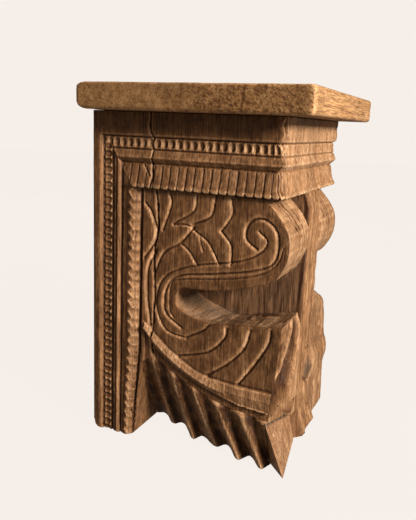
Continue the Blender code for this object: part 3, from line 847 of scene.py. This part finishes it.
def fluted_end(name, side, corner, material):
    """The fluted lower end of one side layer, closed below as far as the web, and its front."""
    s, t, depth = flute_surface(corner)
    along = np.linspace(0, 1, s.shape[0])[:, None]
    depth = depth + 0.35 * grain(np.arange(s.shape[1])[None, :] * 1.4, t, 71) * np.clip(along * 8, 0, 1)
    depth = depth + 0.5 * waves(s, t, 73, 9) * np.clip(along * 5, 0, 1)
    column = (np.arange(s.shape[1]) / FLUTE_COLUMNS + 0.3) % 2 - 0.3
    depth = depth + 1.8 * bell(column, 0.12)[None, :] * np.clip(along * 5, 0, 1)
    if side < 0:
        line_t = np.interp(np.clip(depth, 0, HALF_WIDTH - WEB_HALF), (0, BREAK_RUN),
                           (BREAK_TOP_SIDE[1], BREAK_TOP_WEB[1]))
        break_s = np.interp(t, (BREAK_TOP_SIDE[1], BREAK_FOOT_SIDE[1]),
                            (BREAK_TOP_SIDE[0], BREAK_FOOT_SIDE[0]))
        past = (t > line_t) & (s > break_s) & (np.arange(s.shape[1]) > s.shape[1] - 2 * FLUTE_COLUMNS)
        first = s.shape[1] - past.sum(axis=1, keepdims=True)
        edge = np.take_along_axis(depth, np.clip(first - 1, 0, s.shape[1] - 1), axis=1)
        depth = np.where(past, edge, depth)
        s = np.where(past, break_s, s)
    # Painted light and shade on the flutes: a painted highlight on each crest, a painted shadow just in
    # front of it, and paler flanks.
    stops = (-0.3, -0.12, 0.1, 0.22, 0.7, 1.0, 1.3, 1.7)
    painted_flute_light = np.interp(column, stops, (0.4, 0.7, 0.62, 0.22, 0.02, 0.1, 0.3, 0.4))
    wear_and_light = np.clip(painted_flute_light[None, :] + 0.12 * waves(s, t, 75, 7) + 0.1 * grain(s, t, 77), 0, 1)
    inner_top = INNER_FRONT_TOP if side < 0 else corner[0][0]
    inner_s = np.minimum(s, inner_top + (INNER_FRONT_FOOT - inner_top) * along**2)
    if side < 0:
        inner_s = np.where(t > BREAK_TOP_WEB[1], np.minimum(inner_s, BREAK_BACK), inner_s)
    inner_x = WEB_HALF - CORE_OVERLAP
    outer_x = HALF_WIDTH - depth
    u = (np.arange(1, FOOT_LAYERS + 1) / FOOT_LAYERS)[:, None]
    all_x = np.concatenate([outer_x, outer_x[-1:] * (1 - u) + inner_x * u])
    all_s = np.concatenate([s, s[-1:] * (1 - u) + inner_s[-1:] * u])
    all_t = np.concatenate([t, t[-1:] + 0 * u])
    all_wear_and_light = np.concatenate([wear_and_light, np.full((FOOT_LAYERS, s.shape[1]), 0.5)])
    sheet(name + "_flutes", side * all_x, all_s, all_t, all_wear_and_light, material, flip=side > 0)
    fluted_front(name, side, s[:, -1], t[:, -1], depth[:, -1], inner_s[:, -1], material)


def fluted_front(name, side, s, t, depth, inner_s, material):
    """The front face of the fluted end, from its outer corner to the web."""
    u = np.linspace(0, 1, FOOT_COLUMNS)[None, :]
    inner_x = WEB_HALF - CORE_OVERLAP
    x = (HALF_WIDTH - depth)[:, None] * (1 - u) + inner_x * u
    face_s = s[:, None] * (1 - u) + inner_s[:, None] * u
    face_t = np.repeat(t[:, None], FOOT_COLUMNS, axis=1)
    rough = grain(x, face_t, 81) + waves(x, face_t, 83, 8)
    if side < 0:
        on_flare = (1 - beyond_flare(x, face_t)) * (face_t < BREAK_TOP_WEB[1] - 4)
        face_s = face_s + (FLARE_S - face_s) * on_flare
    face_s = face_s - 0.4 * rough * np.clip(u * 12, 0, 1)
    # The 0.6 base is painted light: this front face sits paler than the shaded sides.
    wear_and_light = np.clip(0.6 + 0.15 * rough, 0, 1)
    sheet(name + "_foot_front", side * x, face_s, face_t, wear_and_light, material, flip=side > 0)


def patch(corners, rows, columns):
    """A grid of points over four corners, given as (x, s, t)."""
    a, b, c, d = (np.array(corner, dtype=float) for corner in corners)
    v = np.linspace(0, 1, rows)[:, None, None]
    u = np.linspace(0, 1, columns)[None, :, None]
    return (a * (1 - u) + b * u) * (1 - v) + (d * (1 - u) + c * u) * v


def mended_tip(material):
    """The newer wood let in at the near lower corner."""
    gap = JOINT_GAP
    top_side = (-TIP_HALF, BREAK_TOP_SIDE[0] + gap, BREAK_TOP_SIDE[1] + gap)
    top_web = (-WEB_HALF - gap, BREAK_TOP_WEB[0] + gap, BREAK_TOP_WEB[1] + gap)
    foot_front = (-HALF_WIDTH, NEAR_CORNER[1][0], BLOCK_HEIGHT)
    foot_front_web = (-WEB_HALF - gap, INNER_FRONT_FOOT, BLOCK_HEIGHT)
    foot_back = (-HALF_WIDTH + TIP_HOLLOW, BREAK_FOOT_SIDE[0] + gap, BLOCK_HEIGHT)
    foot_back_web = (-WEB_HALF - gap, TIP_FOOT_S + gap, BLOCK_HEIGHT)
    sides = [
        ((top_side, top_web, foot_front_web, foot_front), TIP_ROWS, TIP_COLUMNS, False),
        ((top_side, top_side, foot_front, foot_back), TIP_ROWS, TIP_SIDE_COLUMNS, True),
        ((top_web, top_side, foot_back, foot_back_web), TIP_ROWS, TIP_COLUMNS, False),
        ((top_web, top_web, foot_back_web, foot_front_web), TIP_ROWS, TIP_FOOT_COLUMNS, False),
        ((foot_front, foot_front_web, foot_back_web, foot_back), TIP_FOOT_COLUMNS, TIP_COLUMNS, False),
    ]
    points, faces, start = [], [], 0
    for corners, rows, columns, flip in sides:
        grid = patch(corners, rows, columns)
        points.append(place(grid[..., 0], grid[..., 1], grid[..., 2]).reshape(-1, 3))
        faces.append(grid_faces(rows, columns, flip=flip) + start)
        start += rows * columns
    points = np.concatenate(points)
    x, t = points[:, 0] * 1000, MOUNT_DROP - points[:, 2] * 1000
    across = (x + TIP_HALF) / (TIP_HALF - WEB_HALF)
    joint_t = BREAK_TOP_SIDE[1] + (BREAK_TOP_WEB[1] - BREAK_TOP_SIDE[1]) * across
    at_joint = bell(t - joint_t - gap, 1.9)
    dots = at_joint * np.clip(np.sin(x * 0.5) * 3, 0, 1)
    speck = np.hypot(x - SPECK_X, t - SPECK_T) < SPECK_RADIUS
    wear_and_light = np.clip(0.5 + 0.12 * waves(x, t, 105, 9) - 0.5 * at_joint + speck, 0, 1)
    mesh_object("let_in_tip", points, np.concatenate(faces), wear_and_light, material, "mended_tip",
                grey=np.clip(dots, 0, 1))


def web_front(x, t):
    """How far the web's front is worn back, round its knot and at its edges, and the knot's stain."""
    groove, stain = knot_marks(x, t)
    bent = x + 5 * np.tanh((x - KNOT_X) / 3) * np.exp(-knot_reach(x, t))
    rough = 0.9 * grain(bent, t, 95) + 0.5 * waves(x, t, 97, 10) + 0.8 * noise(bent / 3, t / 70, 99)
    rough += 1.6 * groove
    rounding = np.interp(t, (195, 215, 300, 320), (3.0, 0.6, 0.6, 2.0))
    rough += quarter_round(WEB_HALF - np.abs(x), rounding)
    return rough, stain


def web(material):
    """The central web, weathered along its grain, from the back to its rounded front."""
    t_axis = axis(WEB_TOP, WEB_FOOT, WEB_STEP)
    u_side = np.linspace(0, 1, WEB_SIDE_COLUMNS)
    x_axis = axis(-WEB_HALF, WEB_HALF, WEB_STEP * 0.7)
    front_s = read_off(WEB_FRONT, t_axis)[:, None]
    back_s = read_off(BACK_CURVE, t_axis)[:, None] + WEB_INSET
    s_side = back_s + (front_s - back_s) * u_side[None, :]
    t_side = np.repeat(t_axis[:, None], len(u_side), axis=1)
    rough_side = 1.1 * grain(s_side, t_side, 91) + 0.3 * waves(s_side, t_side, 93, 12)
    rough_side = rough_side * rise(s_side - 60, 10) * (t_side < 300)
    x, t = np.meshgrid(x_axis, t_axis)
    rough_front, stain = web_front(x, t)
    squeeze = rise(u_side - 0.96, 0.04)[None, :]
    near_s = s_side - rough_front[:, :1] * squeeze
    far_s = s_side - rough_front[:, -1:] * squeeze
    near_x = -(WEB_HALF - rough_side * (1 - squeeze))
    back = np.zeros((len(t_axis), 2))
    columns_x = beside(near_x, x, -near_x[:, ::-1], back + (8, -8))
    columns_s = beside(near_s, front_s - rough_front, far_s[:, ::-1], back + back_s)
    columns_t = np.repeat(t_axis[:, None], columns_x.shape[1], axis=1)
    rough = beside(rough_side, rough_front, rough_side[:, ::-1], back)
    # Painted shade on the web's sides, darkest along the front arris beside the layers and lighter near the
    # foot where they lie in the light; the front gets painted light round the knot's stain, so these worn
    # values are mostly painted light and shade.
    at_arris = rise(s_side - front_s + 7, 3)
    painted_shade_side = 0.2 - 0.16 * at_arris
    painted_shade_side = painted_shade_side + (0.5 - painted_shade_side) * rise(t_side - 290, 6)
    worn = beside(painted_shade_side, 0.49 - 0.45 * stain, painted_shade_side[:, ::-1], back + 0.4)
    bleached = 0.14 * (1 - at_arris)
    grey = beside(bleached, 0.4 * stain, bleached[:, ::-1], back)
    wear_and_light = np.clip(worn - 0.16 * rough, 0, 1)
    rows, columns = columns_x.shape
    faces = grid_faces(rows, columns, closed=True, flip=True)
    caps = [list(range(columns)), list(range(rows * columns - 1, (rows - 1) * columns - 1, -1))]
    mesh_object("central_web", place(columns_x, columns_s, columns_t), faces, wear_and_light, material, grey=grey,
                caps=caps)


def sawn_back(material):
    """The plain flat back, with faint saw marks across it; its foot follows the rounded corners."""
    flat_end = BACK_CURVE[1][0]
    half = HALF_WIDTH - STRIP_PROFILE[0][1]
    t_axis = np.concatenate([axis(0, flat_end, BACK_STEP), axis(flat_end + 1, BLOCK_HEIGHT, 1.0)])
    x_axis = axis(-half, half, BACK_STEP)
    x, t = np.meshgrid(x_axis, t_axis)
    edge = rise(half - np.abs(x), 3) * rise(t, 3)
    marks = 0.12 * np.sin(t / 3.1 + 0.6 * noise(x / 40, t / 30, 111)) + 0.2 * waves(x, t, 113, 30)
    s = read_off(BACK_CURVE, t) + edge * (0.35 + marks)
    wear_and_light = np.clip(0.38 - 0.3 * marks + 0.08 * waves(x / 3, t / 9, 115, 12) * edge, 0, 1)
    sheet("back_face", x, s, t, wear_and_light, material)


def plank_ring(half, radius):
    """Even places round a rectangle with rounded corners."""
    corner_steps = 5
    ring = []
    for turn, sx, sy in ((0, 1, 1), (90, -1, 1), (180, -1, -1), (270, 1, -1)):
        for k in range(corner_steps + 1):
            angle = math.radians(turn + 90 * k / corner_steps)
            ring.append((sx * (half[0] - radius) + radius * math.cos(angle),
                         sy * (half[1] - radius) + radius * math.sin(angle)))
    ring = np.array(ring + ring[:1])
    lengths = np.concatenate([[0], np.cumsum(np.hypot(*np.diff(ring, axis=0).T))])
    around = np.linspace(0, lengths[-1], PLANK_COLUMNS + 1)[:-1]
    return np.stack([np.interp(around, lengths, ring[:, i]) for i in (0, 1)], axis=-1)


def rounded_edge(centre_z, radius, start_angle):
    """Inset and height down a quarter round."""
    edge_steps = 6
    levels = []
    for k in range(edge_steps + 1):
        angle = math.radians(start_angle - 90 * k / edge_steps)
        levels.append((radius * (1 - math.cos(angle)), centre_z + radius * math.sin(angle)))
    return levels


def plank_grid(half, radius):
    """Rings of points from the middle of the plank's top, down its sides, to that of its underside."""
    ring = plank_ring(half, radius)
    side_gap = 1.2
    narrowing = 1 - radius / 100
    levels = rounded_edge(half[2] - radius, radius, 90)
    for z in np.linspace(half[2] - radius - side_gap, -half[2] + radius + side_gap, PLANK_SIDE_ROWS):
        levels.append((0.0, z))
    levels += rounded_edge(-half[2] + radius, radius, 0)
    shares = (0.0, 0.2, 0.4, 0.6, 0.8)

    def at_height(places, z):
        return np.column_stack([places, np.full(len(places), z)])

    rings = [at_height(ring * share * narrowing, half[2]) for share in shares]
    rings += [at_height(ring * (1 - inset / half[:2]), z) for inset, z in levels]
    rings += [at_height(ring * share * narrowing, -half[2]) for share in reversed(shares)]
    return np.array(rings)


def board(material):
    """The plank, with rounded worn edges."""
    low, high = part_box("shelf_board")
    size = [(b - a) * 1000 for a, b in zip(low, high)]
    middle = [(b + a) * 500 for a, b in zip(low, high)]
    half = np.array(size) / 2
    grid = plank_grid(half, PLANK_ROUNDING)
    from_back = half[1] - grid[..., 1]
    overhang = np.clip((np.abs(grid[..., 0]) - HALF_WIDTH) / (half[0] - HALF_WIDTH) * 1.5, 0, 1)
    drop = quarter_round(from_back, BACK_ROUNDING)
    lowest = -half[2] + drop * overhang
    highest = half[2] - 0.7 * drop * (0.4 + 0.6 * overhang)
    grid[..., 2] = np.clip(grid[..., 2], lowest, highest)
    uneven = 0.25 * waves(grid[..., 0], grid[..., 1] + 3 * grid[..., 2], 103, 22)
    direction = np.sign(grid) * (np.abs(grid) > half - PLANK_ROUNDING)
    direction[..., 2] = np.maximum(direction[..., 2], 0)
    grid = grid - direction * (0.3 + np.abs(uneven)[..., None])
    points = (grid.reshape(-1, 3) + middle) * 0.001
    on_end = rise(np.abs(grid[..., 0]) - (half[0] - 2.5), 1.5)
    on_front = rise(-grid[..., 1] - (half[1] - 3), 1.5)
    near = grid[..., 0] < 0
    check = bell(from_back - CHECK_S - 0.14 * grid[..., 2], 0.9) * on_end * near
    pores = np.clip(noise(from_back / 1.1, grid[..., 2] / 1.1, 107) - 0.1, 0, 1)
    pores = pores * on_end * rise(from_back - 90, 60)
    chip = np.clip(1 - (half[1] + grid[..., 1]) / 7, 0, 1) * np.clip(1 - (half[0] + grid[..., 0]) / 9, 0, 1)
    wear_and_light = 0.47 - 0.22 * on_end + 0.04 * on_front * (1 - on_end) - 0.45 * check - 0.6 * pores + 0.5 * chip
    wear_and_light = wear_and_light + 0.08 * waves(from_back, grid[..., 2], 109, 4) * on_end
    wear_and_light = np.clip(wear_and_light + 0.25 * bell(on_end - 0.5, 0.25), 0, 1)
    faces = grid_faces(*grid.shape[:2], closed=True)
    mesh_object("plank", points, faces, wear_and_light, material, "shelf_board")


class Nodes:
    """A small helper that adds and links shader nodes."""

    def __init__(self, name):
        self.material = bpy.data.materials.new(name)
        self.material.use_nodes = True
        self.tree = self.material.node_tree
        self.shader = self.tree.nodes["Principled BSDF"]

    def add(self, kind, **settings):
        node = self.tree.nodes.new(kind)
        for key, value in settings.items():
            setattr(node, key, value)
        return node

    def link(self, output, socket):
        self.tree.links.new(output, socket)

    def coordinates(self, scale):
        source = self.add("ShaderNodeTexCoord")
        mapping = self.add("ShaderNodeMapping")
        mapping.inputs["Scale"].default_value = scale
        self.link(source.outputs["Object"], mapping.inputs["Vector"])
        return mapping.outputs["Vector"]

    def noise(self, scale, detail=4.0, distortion=0.0):
        node = self.add("ShaderNodeTexNoise")
        self.link(self.coordinates(scale), node.inputs["Vector"])
        node.inputs["Scale"].default_value = 1.0
        node.inputs["Detail"].default_value = detail
        node.inputs["Distortion"].default_value = distortion
        return node.outputs["Fac"]

    def ramp(self, source, stops):
        node = self.add("ShaderNodeValToRGB")
        elements = node.color_ramp.elements
        while len(elements) < len(stops):
            elements.new(0.5)
        for element, (position, colour) in zip(elements, stops):
            element.position = position
            element.color = (*colour, 1.0)
        self.link(source, node.inputs["Fac"])
        return node.outputs["Color"]

    def mix(self, first, second, factor, blend="MIX"):
        node = self.add("ShaderNodeMix", data_type="RGBA", blend_type=blend)
        for value, socket in ((factor, node.inputs[0]), (first, node.inputs[6]), (second, node.inputs[7])):
            if isinstance(value, bpy.types.NodeSocket):
                self.link(value, socket)
            else:
                socket.default_value = value
        return node.outputs[2]

    def attribute(self, name):
        node = self.add("ShaderNodeAttribute", attribute_name=name)
        return node.outputs["Fac"]

    def bump(self, height, strength, distance):
        node = self.add("ShaderNodeBump")
        node.inputs["Strength"].default_value = strength
        node.inputs["Distance"].default_value = distance
        self.link(height, node.inputs["Height"])
        self.link(node.outputs["Normal"], self.shader.inputs["Normal"])


def wood(name, dark, middle, light, recess, shade, crest, along, roughness, bump):
    """Wood with stretched grain; its tone attribute darkens its hollows and pales its crests, carries
    painted light and shade on lit and shaded faces, and grey weathers it.
    """
    nodes = Nodes(name)

    def scale(across, lengthwise):
        return [lengthwise if i == along else across for i in range(3)]

    fine = nodes.noise(scale(900.0, 45.0), 5.0)
    streaks = nodes.noise(scale(340.0, 16.0), 3.0, 0.3)
    broad = nodes.noise(scale(120.0, 9.0), 4.0, 0.6)
    blotches = nodes.noise((28.0, 28.0, 20.0), 3.0)
    colour = nodes.ramp(broad, [(0.25, dark), (0.5, middle), (0.75, light)])
    fibres = nodes.ramp(fine, [(0.35, (0.45, 0.4, 0.36)), (0.52, (1.0, 1.0, 1.0)),
                               (0.72, (1.25, 1.22, 1.16))])
    colour = nodes.mix(colour, fibres, 0.9, "MULTIPLY")
    bands = nodes.ramp(streaks, [(0.35, (0.66, 0.6, 0.54)), (0.5, (1.0, 1.0, 1.0)),
                                 (0.68, (1.2, 1.2, 1.2))])
    colour = nodes.mix(colour, bands, 0.55, "MULTIPLY")
    mottle = nodes.ramp(nodes.noise(scale(620.0, 210.0), 3.0),
                        [(0.36, (0.66, 0.6, 0.54)), (0.55, (1.08, 1.08, 1.08))])
    colour = nodes.mix(colour, mottle, 0.6, "MULTIPLY")
    patches = nodes.ramp(blotches, [(0.3, (0.72, 0.7, 0.68)), (0.65, (1.12, 1.1, 1.08))])
    colour = nodes.mix(colour, patches, 0.7, "MULTIPLY")
    wear_and_light = nodes.attribute("wear_and_light")
    # The tone becomes colour here: recess for hollows and painted shadows, shade for painted shade on side
    # faces, crest for crests and painted light on fronts.
    tone = nodes.ramp(wear_and_light, [(0.0, recess), (0.22, shade), (0.5, (1.0, 1.0, 1.0)), (1.0, crest)])
    colour = nodes.mix(colour, tone, 1.0, "MULTIPLY")
    weathered = nodes.ramp(fine, [(0.3, (0.05, 0.036, 0.024)), (0.75, (0.24, 0.18, 0.13))])
    colour = nodes.mix(colour, weathered, nodes.attribute("grey"))
    nodes.link(colour, nodes.shader.inputs["Base Color"])
    gloss = nodes.ramp(blotches, [(0.3, (roughness - 0.08,) * 3), (0.7, (roughness + 0.08,) * 3)])
    nodes.link(gloss, nodes.shader.inputs["Roughness"])
    nodes.shader.inputs["Specular IOR Level"].default_value = SHEEN
    nodes.bump(fine, bump, 0.0006)
    return nodes.material


def carved_wood():
    """Old dark wood, darker in its hollows and pale on its worn crests, with painted light and shade from
    its tone attribute.
    """
    return wood("old carved wood", dark=(0.19, 0.09, 0.037), middle=(0.265, 0.136, 0.062),
                light=(0.36, 0.198, 0.098), recess=(0.12, 0.08, 0.05), shade=(0.42, 0.36, 0.29),
                crest=(1.75, 2.05, 2.45), along=2, roughness=0.62, bump=0.8)


def mended_wood():
    """The newer, redder and smoother wood of the mended tip."""
    return wood("mended wood", dark=(0.27, 0.135, 0.065), middle=(0.32, 0.17, 0.085),
                light=(0.38, 0.21, 0.105), recess=(0.12, 0.1, 0.08), shade=(0.5, 0.45, 0.4),
                crest=(2.2, 2.6, 3.0), along=2, roughness=0.55, bump=0.2)


def plank_wood():
    """The golden brown plank, whose grain runs across the block."""
    return wood("plank wood", dark=(0.27, 0.135, 0.053), middle=(0.38, 0.207, 0.092),
                light=(0.46, 0.265, 0.128), recess=(0.2, 0.14, 0.08), shade=(0.5, 0.46, 0.38),
                crest=(1.5, 1.6, 1.7), along=0, roughness=0.7, bump=0.25)


def stage_surface(name, mesh, glow, matt):
    """A pale stage surface, which gives the wood no light of its own."""
    nodes = Nodes(name)
    nodes.shader.inputs["Base Color"].default_value = (matt, matt, matt, 1.0)
    nodes.shader.inputs["Roughness"].default_value = 1.0
    nodes.shader.inputs["Specular IOR Level"].default_value = 0.0
    nodes.shader.inputs["Emission Color"].default_value = BACKDROP_COLOUR
    nodes.shader.inputs["Emission Strength"].default_value = glow
    mesh.materials.append(nodes.material)
    item = bpy.data.objects.new(name, mesh)
    item.visible_diffuse = False
    item.visible_glossy = False
    item.visible_shadow = False
    bpy.context.scene.collection.objects.link(item)


def stage():
    """A pale floor just under the part, and a dome round it as a backdrop."""
    radius = 6.0
    gap_below = 0.002
    floor = bpy.data.meshes.new("floor")
    z = cad_box[0][2] - gap_below
    corners = [(-radius, -radius, z), (radius, -radius, z), (radius, radius, z), (-radius, radius, z)]
    floor.from_pydata(corners, [], [(0, 1, 2, 3)])
    stage_surface("floor", floor, 0.985, 0.01)
    dome = bpy.data.meshes.new("backdrop")
    bm = bmesh.new()
    bmesh.ops.create_uvsphere(bm, u_segments=48, v_segments=24, radius=radius)
    bm.to_mesh(dome)
    bm.free()
    stage_surface("backdrop", dome, 1.0, 0.0)


def area_light(name, direction, distance, size, power, colour):
    """A square light that faces the middle of the part."""
    light = bpy.data.lights.new(name, "AREA")
    light.energy = power
    light.size = size
    light.color = colour
    item = bpy.data.objects.new(name, light)
    aim = Vector(direction).normalized()
    item.location = Vector((0.0, -0.1, -0.05)) + aim * distance
    item.rotation_euler = aim.to_track_quat("Z", "Y").to_euler()
    bpy.context.scene.collection.objects.link(item)


def studio():
    """Soft room light, with a key from the front, a weak fill and a light from behind."""
    scene = bpy.context.scene
    scene.view_settings.view_transform = "Standard"
    world = bpy.data.worlds.new("studio")
    world.use_nodes = True
    background = world.node_tree.nodes["Background"]
    background.inputs["Color"].default_value = (1.0, 0.93, 0.85, 1.0)
    background.inputs["Strength"].default_value = 0.26
    scene.world = world
    warm = (1.0, 0.95, 0.88)
    area_light("key", (-0.40, -0.82, 0.38), distance=1.6, size=0.3, power=54.0, colour=(1.0, 0.96, 0.9))
    area_light("fill", (-0.9, -0.3, 0.1), distance=2.0, size=1.4, power=4.0, colour=warm)
    area_light("behind", (0.66, 0.62, 0.42), distance=2.0, size=1.2, power=26.0, colour=warm)


def camera():
    """The photograph's viewpoint, solved from the block's straight edges."""
    data = bpy.data.cameras.new("camera")
    data.lens = 41.54
    data.sensor_width = 36.0
    data.clip_start = 0.01
    item = bpy.data.objects.new("camera", data)
    item.location = (-0.60815, -0.35210, 0.09002)
    item.rotation_euler = [math.radians(angle) for angle in (77.313, -2.298, -65.873)]
    bpy.context.scene.collection.objects.link(item)
    bpy.context.scene.camera = item


def main():
    old_wood = carved_wood()
    new_wood = mended_wood()
    shelf_wood = plank_wood()
    head(old_wood)
    side_panel("near", -1, NEAR_FRONT, PANEL_STEP, old_wood)
    side_panel("far", 1, FAR_FRONT, FAR_STEP, old_wood)
    fluted_end("near", -1, NEAR_CORNER, old_wood)
    fluted_end("far", 1, WORN_CORNER, old_wood)
    mended_tip(new_wood)
    web(old_wood)
    sawn_back(old_wood)
    board(shelf_wood)
    stage()
    studio()
    camera()


main()
